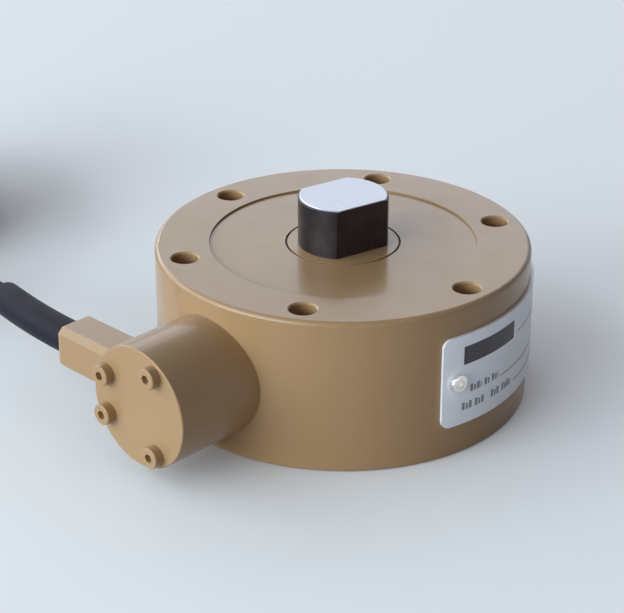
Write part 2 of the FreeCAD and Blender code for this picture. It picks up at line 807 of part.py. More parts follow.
def swept(path, diameter):
    """A round rod along a path."""
    start = path.Edges[0].Vertexes[0].Point
    heading = path.Edges[0].tangentAt(path.Edges[0].FirstParameter)
    ring = Part.Wire(Part.makeCircle(diameter / 2, start, heading))
    return path.makePipeShell([ring], True, True)


def cable():
    radii = arc_radii(cable_route)
    path = rounded_path(cable_route, radii)
    rod = swept(path, cable_diameter)
    section = math.pi * (cable_diameter / 2) ** 2
    print("cable bend radii:", [round(radius, 1) for radius in radii])
    print("cable tube: length %.1f, volume %.1f, section times length %.1f"
          % (path.Length, rod.Volume, section * path.Length))
    return rod


def cable_sleeve():
    """The thicker rubber sleeve over the cable's first stretch, along the same path."""
    last_run = cable_route[3] - cable_route[2]
    end = cable_route[2] + last_run * ((sleeve_end_x - cable_route[2].x) / last_run.x)
    points = [at_gland(sleeve_start_x), cable_route[1], cable_route[2], end]
    path = rounded_path(points, arc_radii(cable_route)[:2])
    return swept(path, sleeve_diameter).cut(swept(path, cable_diameter + 2 * part_clearance))


def coil_rod(radius, z, azimuth, sweep, diameter):
    """A round rod bent clockwise about the coil's axis, from an azimuth."""
    start = polar(radius, azimuth, z) + coil_centre
    disc = Part.Face(Part.Wire(Part.makeCircle(diameter / 2, start, polar(1, azimuth - 90))))
    return disc.revolve(coil_centre, -UP, sweep)


def cable_coil():
    """The outer shape of the coil, with a stub where the cable joins it and its tail inside."""
    ring = tube(2 * coil_outer_radius, 2 * coil_inner_radius, coil_centre, UP, coil_height)
    ring = ring.makeFillet(coil_edge_radius, circles(ring, lambda point: True))
    stub = cylinder(cable_diameter, cable_end, ALONG, coil_stub_length)
    tail = coil_rod(coil_tail_radius, cable_diameter / 2, coil_tail_start, coil_tail_sweep, cable_diameter)
    return ring.fuse([stub, tail])


def cable_leads():
    """The four stripped cores at the cable's bare end."""
    leads = []
    azimuth = coil_tail_start - coil_tail_sweep
    for across in (-lead_spacing / 2, lead_spacing / 2):
        for up in (-lead_spacing / 2, lead_spacing / 2):
            leads.append(coil_rod(coil_tail_radius + across, cable_diameter / 2 + up, azimuth, lead_sweep,
                                  lead_diameter))
    return Part.makeCompound(leads)


def nameplate():
    """A thin plate bent round the ring, with rounded corners and two screw holes."""
    inner = body_radius + part_clearance
    outer = inner + plate_thickness
    top_z = plate_bottom_z + plate_height
    corners = [Vector(inner, 0, plate_bottom_z), Vector(outer, 0, plate_bottom_z), Vector(outer, 0, top_z),
               Vector(inner, 0, top_z)]
    span = math.degrees(plate_length / body_radius)
    plate = Part.Face(Part.makePolygon(corners + corners[:1])).revolve(CENTRE, UP, span)
    plate = spun(plate, plate_azimuth - span / 2)
    straight = [e for e in plate.Edges if isinstance(e.Curve, Part.Line)]
    corners = [e for e in straight if abs(e.Curve.Direction.dot(UP)) < nearly_parallel]
    plate = plate.makeFillet(plate_corner_radius, corners)
    hole = plate_screw_diameter + 2 * part_clearance
    return plate.cut([cylinder(hole, polar(pocket_radius, azimuth, plate_screw_z), polar(1, azimuth),
                               body_radius)
                      for azimuth in plate_screw_azimuths().values()])


def nameplate_screw(azimuth):
    """A short drive screw with a domed, recessed head that seats on the curved plate."""
    outward = polar(1, azimuth)
    seat_radius = body_radius + part_clearance + plate_thickness
    top = polar(seat_radius + plate_screw_head_height, azimuth, plate_screw_z)
    head = cylinder(plate_screw_head, top, -outward, plate_screw_head_height + cut_margin)
    rim = circles(head, lambda point: point.isEqual(top, cut_margin))
    head = head.makeFillet(plate_screw_head_height / 2, rim)
    head = head.cut(cylinder(2 * seat_radius, CENTRE, UP, body_height))
    recess_floor = top - outward * plate_recess_depth
    head = head.cut(hexagon(m3_socket, recess_floor, outward, plate_recess_depth + cut_margin))
    shank_start = polar(body_radius - plate_screw_depth, azimuth, plate_screw_z)
    shank_length = (recess_floor - shank_start).Length
    return head.fuse(cylinder(plate_screw_diameter, shank_start, outward, shank_length))


def build():
    parts = {
        "element_body": spring_element(),
        "load_button": load_button(),
        "top_cover": top_cover(),
        "dust_seal": dust_seal(),
        "bottom_gasket": bottom_gasket(),
        "bottom_cover": bottom_cover(),
        "bottom_cover_screws": bottom_cover_screws(),
        "gauge_ring_board": ring_board(),
        "bridge_board": bridge_board(),
        "bridge_resistors": bridge_resistors(),
        "bridge_board_spacers": spacers(bridge_board_width, bridge_flat_y, bridge_spacer_length),
        "bridge_board_screws": pan_head_screws(bridge_board_width, bridge_board_face_y, OUT,
                                               bridge_screw_length),
        "bridge_wires": bridge_wires(),
        "bore_plug": bore_plug(),
        "terminal_housing": terminal_housing(),
        "housing_o_ring": housing_o_ring(),
        "housing_screws": housing_screws(),
        "terminal_board": terminal_board(),
        "terminal_pins": terminal_pins(),
        "terminal_board_spacers": spacers(terminal_board_width, terminal_board_back_y,
                                          terminal_spacer_length),
        "terminal_board_screws": pan_head_screws(terminal_board_width, terminal_board_face_y, -OUT,
                                                 terminal_screw_length),
        "cover_gasket": cover_gasket(),
        "terminal_cover": terminal_cover(),
        "gland_body": gland_body(),
        "cable_cores": cable_cores(),
        "cable_sleeve": cable_sleeve(),
        "cable": cable(),
        "cable_coil": cable_coil(),
        "cable_leads": cable_leads(),
        "nameplate": nameplate(),
    }
    parts.update(gland_insides())
    for number, gauge in enumerate(strain_gauges(), start=1):
        parts[f"strain_gauge_{number}"] = gauge
    for number, screw in enumerate(cover_screws(), start=1):
        parts[f"cover_screw_{number}"] = screw
    for side, azimuth in plate_screw_azimuths().items():
        parts[f"nameplate_screw_{side}"] = nameplate_screw(azimuth)
    return parts


os.makedirs("parts", exist_ok=True)
for name, shape in build().items():
    shape.exportStep(f"parts/{name}.step")
    print(f"{name}: {len(shape.Solids)} solid(s), volume {shape.Volume:.1f}, valid {shape.isValid()}")
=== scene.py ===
# %% [markdown]
# # A strain gauge load cell, dressed in Blender
#
# The load cell is a low round steel body that measures the force on the button in its middle.
# Its true shape comes from a CAD model, which this script loads and never changes.
# The lesson adds what CAD leaves out: finishes, light, a flexible cable and the plate's print.
# Blender counts in metres, and +Z is up.

# %% Tools and the empty scene
import json
import math

import bmesh
import bpy
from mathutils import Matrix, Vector

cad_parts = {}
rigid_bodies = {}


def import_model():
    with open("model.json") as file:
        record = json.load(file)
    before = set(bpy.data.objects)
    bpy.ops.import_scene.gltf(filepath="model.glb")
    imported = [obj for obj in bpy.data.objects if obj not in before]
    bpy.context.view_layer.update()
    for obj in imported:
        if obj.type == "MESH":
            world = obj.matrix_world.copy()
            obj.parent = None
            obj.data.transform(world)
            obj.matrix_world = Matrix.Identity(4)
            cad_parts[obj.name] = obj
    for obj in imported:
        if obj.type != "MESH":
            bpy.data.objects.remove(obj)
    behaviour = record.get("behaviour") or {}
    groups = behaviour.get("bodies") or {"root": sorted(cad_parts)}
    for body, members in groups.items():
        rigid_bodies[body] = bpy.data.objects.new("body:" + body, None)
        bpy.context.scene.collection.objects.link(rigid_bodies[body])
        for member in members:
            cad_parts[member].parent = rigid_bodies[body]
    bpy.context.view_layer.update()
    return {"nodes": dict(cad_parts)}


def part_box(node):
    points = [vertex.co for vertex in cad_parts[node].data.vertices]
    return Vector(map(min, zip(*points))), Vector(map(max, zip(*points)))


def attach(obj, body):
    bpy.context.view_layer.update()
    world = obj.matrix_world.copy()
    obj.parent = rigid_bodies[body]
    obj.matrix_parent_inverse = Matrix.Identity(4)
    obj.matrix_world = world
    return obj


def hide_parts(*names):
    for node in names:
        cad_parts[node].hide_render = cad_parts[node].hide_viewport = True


for leftover in list(bpy.data.objects):
    bpy.data.objects.remove(leftover)

MM = 0.001
UP = Vector((0, 0, 1))
scene = bpy.context.scene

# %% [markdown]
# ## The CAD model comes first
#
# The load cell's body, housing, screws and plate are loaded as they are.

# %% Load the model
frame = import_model()
nodes = frame["nodes"]
print("parts in the model:", len(nodes))

# %% [markdown]
# ## Camera
#
# The picture was taken from a little above, through a long lens, so upright edges stay nearly parallel.
# A camera could be aimed with a tracking constraint, but plain numbers for its place, heading and dip are
# easier to check against the picture. The lens follows from the focal length in pixels.

# %% Camera
photo_width = 624
focal_pixels = 1963.7
sensor_width = 36.0
camera_place = Vector((0.3251, -0.3482, 0.2567))
camera_heading = math.radians(44.024)
camera_dip = math.radians(26.230)

camera_data = bpy.data.cameras.new("photo_camera")
camera_data.sensor_width = sensor_width
camera_data.lens = sensor_width * focal_pixels / photo_width
camera = bpy.data.objects.new("photo_camera", camera_data)
camera.location = camera_place
camera.rotation_euler = (math.pi / 2 - camera_dip, 0, camera_heading)
scene.collection.objects.link(camera)
scene.camera = camera
print("lens in millimetres:", round(camera_data.lens, 1))

# %% [markdown]
# ## The cable's route
#
# The cable leaves the gland towards the left, runs on level past the edge of the picture, and sinks to the
# floor there. Its line is one smooth NURBS spline. The first points were chosen to follow the
# picture. The part that the picture doesn't show is wound into a neat round coil of twelve turns, six on
# each other in two columns, just outside the view.

# %% Route and coil
cable_diameter = 6.4 * MM
cable_route = [
    (-17.9, -61.0, 20.3),
    (-38.9, -61.0, 20.3),
    (-58.5, -60.0, 20.2),
    (-80.0, -56.6, 20.3),
    (-95.5, -54.4, 17.4),
    (-109.5, -54.8, 12.4),
    (-122.5, -57.6, 7.8),
    (-135.0, -61.6, 4.4),
    (-147.5, -64.6, 3.2),
    (-159.5, -64.6, 3.2),
]
route_points = [Vector(point) * MM for point in cable_route]

coil_low, coil_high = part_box("cable_coil")
coil_radius = (coil_high.y - coil_low.y) / 2
coil_centre = Vector((coil_low.x + coil_radius, coil_low.y + coil_radius, 0))
coil_pitch = 6.6 * MM
outer_turn = coil_radius - cable_diameter / 2
bottom_layer = cable_diameter / 2
layers = 1 + round((coil_high.z - cable_diameter) / coil_pitch)
print("coil's middle in millimetres:", [round(value / MM, 1) for value in coil_centre[:2]])

# %% [markdown]
# A coil winds clockwise here, so its azimuth falls as the cable goes on. It is simplest to count the
# degrees that are wound so far, and to note at which of them each step to the next turn starts. A step up
# or down follows the last one after a full turn. A step of another kind comes a sector earlier, so that
# the two never cross.

# %% Steps from turn to turn
entry_azimuth = 270.0
crossing_sweep = 60.0
tail_sweep = 70.0
point_step = 15.0

upward = (0.0, coil_pitch)
downward = (0.0, -coil_pitch)
inward = (-coil_pitch, 0.0)
steps = [upward] * (layers - 1) + [inward] + [downward] * (layers - 1) + [inward]


def crossing_starts():
    """The degrees wound when each step to the next turn starts."""
    starts = []
    wound = -crossing_sweep
    before = steps[0]
    for step in steps:
        wound += 360.0
        if step != before:
            wound -= crossing_sweep
        starts.append(wound)
        before = step
    return starts


starts = crossing_starts()
tail_end = starts[-1] + crossing_sweep + tail_sweep
print("turns in the coil:", round(tail_end / 360, 2), "layers:", layers)

# %% [markdown]
# A spline of order 3 touches the middle of each leg of its control polygon. So a circle's control points
# stand outside the circle, further out by one over the cosine of half the step between them.

# %% The coil's points
def coil_place(wound):
    """The radius and the height of the cable's middle after some degrees of winding."""
    radius = outer_turn
    height = bottom_layer
    for start, (across, up) in zip(starts, steps):
        share = min(max((wound - start) / crossing_sweep, 0.0), 1.0)
        radius += across * share
        height += up * share
    return radius, height


def around_coil(radius, wound, height):
    """The place at a radius and a height round the coil's middle after some degrees of winding."""
    turn = math.radians(entry_azimuth - wound)
    return coil_centre + Vector((radius * math.cos(turn), radius * math.sin(turn), height))


coil_points = []
wound = -point_step / 2
while wound < tail_end - point_step / 2:
    radius, height = coil_place(wound)
    coil_points.append(around_coil(radius / math.cos(math.radians(point_step / 2)), wound, height))
    wound += point_step
tail_radius, tail_height = coil_place(tail_end)
coil_points.append(around_coil(tail_radius, tail_end, tail_height))
print("points in the coil:", len(coil_points))

# %% [markdown]
# ## The cable itself
#
# A curve object with a round bevel is the simplest honest cable: its length and thickness can be measured.
# The order and the end points are set only after the points are added, or the curve stays a polygon.
# A curve's box counts the radius at its points as metres, so the real radius is written there, and the
# bevel that it scales is one metre deep.

# %% Cable
def round_curve(name, points, thickness, smooth=6, sides=4):
    """A round cord along one smooth spline."""
    data = bpy.data.curves.new(name, "CURVE")
    data.dimensions = "3D"
    spline = data.splines.new("NURBS")
    spline.points.add(len(points) - 1)
    for place, point in zip(spline.points, points):
        place.co = (*point, 1.0)
        place.radius = thickness / 2
    spline.order_u = 3
    spline.use_endpoint_u = True
    spline.resolution_u = smooth
    data.bevel_depth = 1.0
    data.bevel_resolution = sides
    data.use_fill_caps = True
    piece = bpy.data.objects.new(name, data)
    scene.collection.objects.link(piece)
    return piece


cable = round_curve("cable_run", route_points + coil_points, cable_diameter)
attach(cable, "root")
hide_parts("cable", "cable_coil")

# %% [markdown]
# ## Reading the cable's own line
#
# The rubber sleeve has to follow the cable exactly. A copy of the curve without its bevel turns into
# a mesh of the line alone, and the sleeve is built round those points.

# %% The cable's middle line
def middle_line(curve):
    """The points of a curve's own line, in order."""
    bare = curve.data.copy()
    bare.bevel_depth = 0.0
    holder = bpy.data.objects.new("line_holder", bare)
    scene.collection.objects.link(holder)
    bpy.context.view_layer.update()
    mesh = bpy.data.meshes.new_from_object(holder)
    line = [vertex.co.copy() for vertex in mesh.vertices]
    bpy.data.objects.remove(holder)
    bpy.data.meshes.remove(mesh)
    bpy.data.curves.remove(bare)
    return line


cable_line = middle_line(cable)
cable_length = sum((b - a).length for a, b in zip(cable_line, cable_line[1:]))
print("cable length in metres:", round(cable_length, 3))

# %% [markdown]
# ## Sleeve
#
# A thicker rubber sleeve covers the cable where it leaves the gland, so that it doesn't kink there.
# It is a tube of rings along the cable's line: the outside first, then a rounded lip, and then
# the bore back inside, so that the open end shows a real wall.

# %% Rings along a line
def place_on_line(line, distance):
    """The point and the heading of a line at a distance from its start."""
    walked = 0.0
    for a, b in zip(line, line[1:]):
        length = (b - a).length
        if walked + length >= distance:
            return a + (b - a) * ((distance - walked) / length), (b - a).normalized()
        walked += length
    return line[-1].copy(), (line[-1] - line[-2]).normalized()


def tube_on_line(name, line, stations, sides=40):
    """A closed tube through rings: each station is a distance along the line and a radius."""
    build = bmesh.new()
    rings = []
    for distance, radius in stations:
        middle, heading = place_on_line(line, distance)
        across = heading.cross(UP).normalized()
        over = across.cross(heading)
        ring = []
        for side in range(sides):
            turn = math.tau * side / sides
            ring.append(build.verts.new(middle + (across * math.cos(turn) + over * math.sin(turn)) * radius))
        rings.append(ring)
    for ring, after in zip(rings, rings[1:] + rings[:1]):
        for side in range(sides):
            other = (side + 1) % sides
            build.faces.new((ring[side], ring[other], after[other], after[side]))
    bmesh.ops.recalc_face_normals(build, faces=build.faces)
    mesh = bpy.data.meshes.new(name)
    build.to_mesh(mesh)
    build.free()
    mesh.shade_smooth()
    piece = bpy.data.objects.new(name, mesh)
    scene.collection.objects.link(piece)
    return piece


# %% Sleeve
sleeve_radius = 4.6 * MM
sleeve_bore = 3.25 * MM
sleeve_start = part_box("cable_sleeve")[1].x
sleeve_length = 44.4 * MM
sleeve_parts = 24
lip_radius = 0.5 * MM
lip_parts = 6


def distance_at_x(line, x):
    """How far along the line it first passes a value of x."""
    walked = 0.0
    for a, b in zip(line, line[1:]):
        if b.x <= x:
            return walked + (b - a).length * (a.x - x) / (a.x - b.x)
        walked += (b - a).length
    return walked


start = distance_at_x(cable_line, sleeve_start)
end = start + sleeve_length
outside = [(start + sleeve_length * part / sleeve_parts, sleeve_radius) for part in range(sleeve_parts)]
lip = []
for part in range(lip_parts + 1):
    turn = math.pi / 2 * part / lip_parts
    lip.append((end - lip_radius + lip_radius * math.sin(turn),
                sleeve_radius - lip_radius + lip_radius * math.cos(turn)))
bore = [(end - sleeve_length * part / sleeve_parts, sleeve_bore) for part in range(sleeve_parts + 1)]
sleeve = tube_on_line("rubber_sleeve", cable_line, outside + lip + bore)
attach(sleeve, "root")
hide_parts("cable_sleeve")
print("the sleeve starts this far along the cable, in millimetres:", round(start / MM, 1))

# %% [markdown]
# ## Leads
#
# The far end is bare: four thin coloured leads come out of the jacket, ready to be wired to an amplifier.
# They start a few degrees inside the jacket, fan out a little and come to rest on the floor, and each ends
# in a short tinned tip.

# %% Leads
lead_diameter = 1.3 * MM
lead_spread = 0.75 * MM
lead_names = ["red", "black", "green", "white"]
lead_sweeps = [66.0, 72.0, 60.0, 69.0]
lead_fans = [2.6 * MM, 0.9 * MM, -0.9 * MM, -2.6 * MM]
tip_length = 4.0 * MM
tip_diameter = 0.8 * MM
lead_corners = [(1, 1), (1, -1), (-1, 1), (-1, -1)]
lead_parts = 7
lead_overlap = 3.0

leads = []
tips = []
for name, sweep, fan, (across, up) in zip(lead_names, lead_sweeps, lead_fans, lead_corners):
    points = []
    for part in range(lead_parts + 1):
        share = part / lead_parts
        ease = share * share * (3 - 2 * share)
        lead_radius = tail_radius + across * lead_spread * (1 - ease) + fan * ease
        drop = (tail_height + up * lead_spread) * (1 - ease) + lead_diameter / 2 * ease
        wound = tail_end - lead_overlap + (sweep + lead_overlap) * share
        points.append(around_coil(lead_radius, wound, drop))
    lead = round_curve("lead_" + name, points, lead_diameter, smooth=4, sides=3)
    heading = (points[-1] - points[-2]).normalized()
    tip_points = [points[-1] - heading * tip_length / 2, points[-1], points[-1] + heading * tip_length]
    tip = round_curve("lead_tip_" + name, tip_points, tip_diameter, smooth=2, sides=3)
    for piece in (lead, tip):
        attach(piece, "root")
    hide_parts("cable_leads")
    leads.append(lead)
    tips.append(tip)
print("leads:", len(leads))

# %% [markdown]

# %% [markdown]
# ## Helpers for finishes
#
# Every finish is a principled shader with a little procedural life: slow noise that changes the colour
# or the gloss slightly, and fine noise that bends the surface. All of it is in object space, in metres,
# so a scale of 1000 means detail about a millimetre across.

# %% Helpers for finishes
def finish_material(name, color, roughness, metallic=0.0):
    """A material with a principled shader, and the tree that further nodes join."""
    material = bpy.data.materials.new(name)
    material.use_nodes = True
    tree = material.node_tree
    shader = tree.nodes["Principled BSDF"]
    shader.inputs["Base Color"].default_value = (*color, 1.0)
    shader.inputs["Roughness"].default_value = roughness
    shader.inputs["Metallic"].default_value = metallic
    return material, tree, shader


def noise(tree, scale, detail=2.0, stretch=(1.0, 1.0, 1.0)):
    """Noise in object space, stretched along an axis if asked."""
    place = tree.nodes.new("ShaderNodeTexCoord")
    mapping = tree.nodes.new("ShaderNodeMapping")
    mapping.inputs["Scale"].default_value = stretch
    texture = tree.nodes.new("ShaderNodeTexNoise")
    texture.inputs["Scale"].default_value = scale
    texture.inputs["Detail"].default_value = detail
    tree.links.new(place.outputs["Object"], mapping.inputs["Vector"])
    tree.links.new(mapping.outputs["Vector"], texture.inputs["Vector"])
    return texture.outputs["Fac"]


def between(tree, factor, low, high):
    """A number that runs from low to high as the noise runs over its usual range."""
    node = tree.nodes.new("ShaderNodeMapRange")
    node.inputs["From Min"].default_value = 0.3
    node.inputs["From Max"].default_value = 0.7
    node.inputs["To Min"].default_value = low
    node.inputs["To Max"].default_value = high
    tree.links.new(factor, node.inputs["Value"])
    return node.outputs["Result"]


def blend_colors(tree, factor, first, second):
    """A colour that runs from the first to the second with a factor; each may be a socket or a colour."""
    node = tree.nodes.new("ShaderNodeMix")
    node.data_type = "RGBA"
    for socket, color in (("A", first), ("B", second)):
        target = [s for s in node.inputs if s.name == socket and s.type == "RGBA"][0]
        if isinstance(color, tuple):
            target.default_value = (*color, 1.0)
        else:
            tree.links.new(color, target)
    tree.links.new(factor, node.inputs["Factor"])
    return [s for s in node.outputs if s.type == "RGBA"][0]


def add_bump(tree, shader, height, depth, strength=1.0):
    """Bends the shading by a height field of a real depth in metres."""
    node = tree.nodes.new("ShaderNodeBump")
    node.inputs["Strength"].default_value = strength
    node.inputs["Distance"].default_value = depth
    tree.links.new(height, node.inputs["Height"])
    tree.links.new(node.outputs["Normal"], shader.inputs["Normal"])
    return node


def dress(material, *names):
    """Gives a material to model nodes, or to pieces made here."""
    for name in names:
        piece = nodes[name] if isinstance(name, str) else name
        piece.data.materials.clear()
        piece.data.materials.append(material)


# %% [markdown]
# ## Golden tan enamel
#
# The body, the housing and the gland are sprayed together with a hard tan enamel, screws included.
# It is smooth and fairly glossy, so the dark button mirrors in it. Sprayed enamel keeps a faint
# ripple, a millimetre or two across, and its colour is a shade uneven.

# %% Golden tan enamel
enamel, tree, shader = finish_material("golden_tan_enamel", (0.329, 0.199, 0.098), 0.34)
tone = between(tree, noise(tree, 45.0, 3.0), 0.0, 1.0)
tree.links.new(blend_colors(tree, tone, (0.320, 0.192, 0.094), (0.338, 0.206, 0.102)),
               shader.inputs["Base Color"])
tree.links.new(between(tree, noise(tree, 120.0, 2.0), 0.30, 0.38), shader.inputs["Roughness"])
shader.inputs["IOR"].default_value = 1.35
shader.inputs["Coat Weight"].default_value = 0.5
shader.inputs["Coat Roughness"].default_value = 0.12
shader.inputs["Coat IOR"].default_value = 1.38
add_bump(tree, shader, noise(tree, 620.0, 2.0), 0.00002, 0.35)
enamelled = ["element_body", "top_cover", "terminal_housing", "terminal_cover", "gland_body",
             "cover_screw_1", "cover_screw_2", "cover_screw_3", "cover_screw_4"]
dress(enamel, *enamelled)
print("enamelled pieces:", len(enamelled))

# %% [markdown]
# ## Load button
#
# The button is hardened steel with a black oxide finish, and its top is ground bright after hardening.
# One material can hold both: the height in the model tells where the ground face starts.

# %% Load button
ground_depth = 0.25 * MM
ground_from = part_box("load_button")[1].z - ground_depth

button_steel, tree, shader = finish_material("button_steel", (0.05, 0.04, 0.042), 0.36, 1.0)
geometry = tree.nodes.new("ShaderNodeNewGeometry")
split = tree.nodes.new("ShaderNodeSeparateXYZ")
tree.links.new(geometry.outputs["Position"], split.inputs["Vector"])
above = tree.nodes.new("ShaderNodeMath")
above.operation = "GREATER_THAN"
above.inputs[1].default_value = ground_from
tree.links.new(split.outputs["Z"], above.inputs[0])
grain = noise(tree, 260.0, 4.0, (1.0, 14.0, 1.0))
bright = blend_colors(tree, between(tree, grain, 0.0, 1.0), (0.36, 0.38, 0.43), (0.43, 0.45, 0.50))
dark = blend_colors(tree, between(tree, noise(tree, 300.0, 3.0), 0.0, 1.0), (0.042, 0.033, 0.035),
                    (0.060, 0.048, 0.052))
tree.links.new(blend_colors(tree, above.outputs["Value"], dark, bright), shader.inputs["Base Color"])
add_bump(tree, shader, grain, 0.000006, 0.6)
dress(button_steel, "load_button")

# %% [markdown]
# ## Nameplate
#
# The plate is satin aluminium, bent round the body. Its print stays generic here: one dark bar, and
# plain grey marks and rules where such a plate has its data. Each is thin curved geometry of its own,
# so its edges stay sharp at any distance.

# %% Plate metal and print ink
plate_metal, tree, shader = finish_material("plate_aluminium", (0.82, 0.85, 0.94), 0.42, 0.15)
brushed = noise(tree, 180.0, 4.0, (1.0, 1.0, 26.0))
tree.links.new(blend_colors(tree, between(tree, brushed, 0.0, 1.0), (0.79, 0.82, 0.91), (0.85, 0.88, 0.97)),
               shader.inputs["Base Color"])
tree.links.new(between(tree, brushed, 0.38, 0.46), shader.inputs["Roughness"])
add_bump(tree, shader, brushed, 0.000004, 0.5)
dress(plate_metal, "nameplate")

black_ink = finish_material("black_ink", (0.040, 0.034, 0.040), 0.45)[0]
grey_ink = finish_material("grey_ink", (0.24, 0.24, 0.29), 0.5)[0]

# %% [markdown]
# A block of ink is a small strip bent round the body's axis, with real but tiny thickness, so that it is
# a closed shape and lies on the plate without flicker.

# %% Print
plate_face = 50.85 * MM
ink_thickness = 0.03 * MM
ink_step = 1.5


def add_block(build, from_azimuth, to_azimuth, low, high):
    """One closed block of ink on the plate, between two azimuths and two heights."""
    parts = max(1, round((to_azimuth - from_azimuth) / ink_step))
    columns = []
    for part in range(parts + 1):
        turn = math.radians(from_azimuth + (to_azimuth - from_azimuth) * part / parts)
        column = []
        for radius, height in ((plate_face, low), (plate_face + ink_thickness, low),
                               (plate_face + ink_thickness, high), (plate_face, high)):
            column.append(build.verts.new((radius * math.cos(turn), radius * math.sin(turn), height)))
        columns.append(column)
    for column, after in zip(columns, columns[1:]):
        for corner in range(4):
            other = (corner + 1) % 4
            build.faces.new((column[corner], column[other], after[other], after[corner]))
    build.faces.new(columns[0])
    build.faces.new(columns[-1])


def printed(name, ink, blocks):
    """A piece of print made of blocks: each is two azimuths in degrees and two heights in metres."""
    build = bmesh.new()
    for block in blocks:
        add_block(build, *block)
    bmesh.ops.recalc_face_normals(build, faces=build.faces)
    mesh = bpy.data.meshes.new(name)
    build.to_mesh(mesh)
    build.free()
    piece = bpy.data.objects.new(name, mesh)
    scene.collection.objects.link(piece)
    dress(ink, piece)
    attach(piece, "root")


# %% [markdown]
# Small print at this size is only a row of grey marks. So a word here is a few short blocks side by side,
# of two widths and two heights in turn, which spell nothing.

# %% Bar, words and rules
mark_gap = 0.45
wide_mark = 1.05
narrow_mark = 0.75
lower_top = 0.2


def word_blocks(from_azimuth, to_azimuth, low, high):
    """Short upright marks that fill a word's place from one azimuth to another."""
    blocks = []
    azimuth = from_azimuth
    wide = True
    while azimuth < to_azimuth:
        end = min(azimuth + (wide_mark if wide else narrow_mark), to_azimuth)
        top = high if wide else high - (high - low) * lower_top
        blocks.append((azimuth, end, low, top))
        azimuth = end + mark_gap
        wide = not wide
    return blocks


printed("print_title_bar", black_ink, [(-10.0, 13.3, 25.9 * MM, 31.0 * MM)])
upper_words = [(-7.2, -2.6), (-1.4, 0.8), (2.0, 5.0)]
lower_words = [(-10.2, -6.4), (-5.2, -1.4), (1.8, 6.0), (7.2, 12.0)]
upper_heights = (17.6 * MM, 19.6 * MM)
lower_heights = (12.9 * MM, 15.0 * MM)
upper_blocks = [block for left, right in upper_words for block in word_blocks(left, right, *upper_heights)]
lower_blocks = [block for left, right in lower_words for block in word_blocks(left, right, *lower_heights)]
printed("print_upper_words", grey_ink, upper_blocks)
printed("print_lower_words", grey_ink, lower_blocks)
printed("print_upper_rule", grey_ink, [(6.2, 46.0, 17.5 * MM, 17.8 * MM)])
printed("print_lower_rule", grey_ink, [(14.5, 46.0, 12.9 * MM, 13.2 * MM)])
printed("print_side_rule", grey_ink, [(16.5, 46.0, 26.6 * MM, 26.9 * MM)])
print("marks in the two rows:", len(upper_blocks) + len(lower_blocks))

# %% [markdown]
# ## Bright screws on the plate
#
# The two small screws that hold the plate are nickel plated and shine.

# %% Bright screws
nickel, tree, shader = finish_material("bright_nickel", (0.80, 0.77, 0.74), 0.18, 1.0)
tree.links.new(between(tree, noise(tree, 900.0, 3.0), 0.14, 0.26), shader.inputs["Roughness"])
dress(nickel, "nameplate_screw_left", "nameplate_screw_right")

# %% [markdown]
# ## Rubber, jacket and leads
#
# Cable jackets are soft plastic with a low sheen. A fine, slightly drawn-out grain breaks the highlight.

# %% Rubber, jacket and leads
jacket, tree, shader = finish_material("cable_jacket", (0.014, 0.010, 0.018), 0.58)
shader.inputs["Specular IOR Level"].default_value = 0.06
add_bump(tree, shader, noise(tree, 1400.0, 2.0), 0.00003, 0.35)
tree.links.new(between(tree, noise(tree, 200.0, 2.0), 0.50, 0.62), shader.inputs["Roughness"])
dress(jacket, cable)

sleeve_rubber, tree, shader = finish_material("sleeve_rubber", (0.014, 0.012, 0.020), 0.5)
shader.inputs["Specular IOR Level"].default_value = 0.10
add_bump(tree, shader, noise(tree, 1100.0, 2.0), 0.00003, 0.3)
tree.links.new(between(tree, noise(tree, 150.0, 2.0), 0.44, 0.56), shader.inputs["Roughness"])
dress(sleeve_rubber, sleeve)

seal_rubber, tree, shader = finish_material("seal_rubber", (0.015, 0.014, 0.015), 0.6)
add_bump(tree, shader, noise(tree, 1500.0, 2.0), 0.00003, 0.4)
dress(seal_rubber, "dust_seal", "bottom_gasket", "bore_plug", "housing_o_ring", "cover_gasket",
      "gland_grommet")

lead_colors = [(0.42, 0.02, 0.015), (0.012, 0.012, 0.014), (0.02, 0.19, 0.05), (0.72, 0.72, 0.70)]
for lead, name, color in zip(leads, lead_names, lead_colors):
    insulation, tree, shader = finish_material("insulation_" + name, color, 0.38)
    tree.links.new(between(tree, noise(tree, 700.0, 2.0), 0.32, 0.46), shader.inputs["Roughness"])
    add_bump(tree, shader, noise(tree, 2200.0, 2.0), 0.00001, 0.3)
    dress(insulation, lead)

tinned, tree, shader = finish_material("tinned_copper", (0.62, 0.60, 0.57), 0.3, 1.0)
add_bump(tree, shader, noise(tree, 1500.0, 2.0), 0.00003, 0.5)
dress(tinned, *tips)

# %% [markdown]
# ## Metal underneath and inside
#
# The bottom cover is turned from stainless steel, and turning leaves fine circles round its middle.
# The distance from the axis, scaled up and put through a sine, makes them. The screws, spacers, boards and
# gauges inside are seen by nobody, but each has its own plain finish for whoever opens the model.

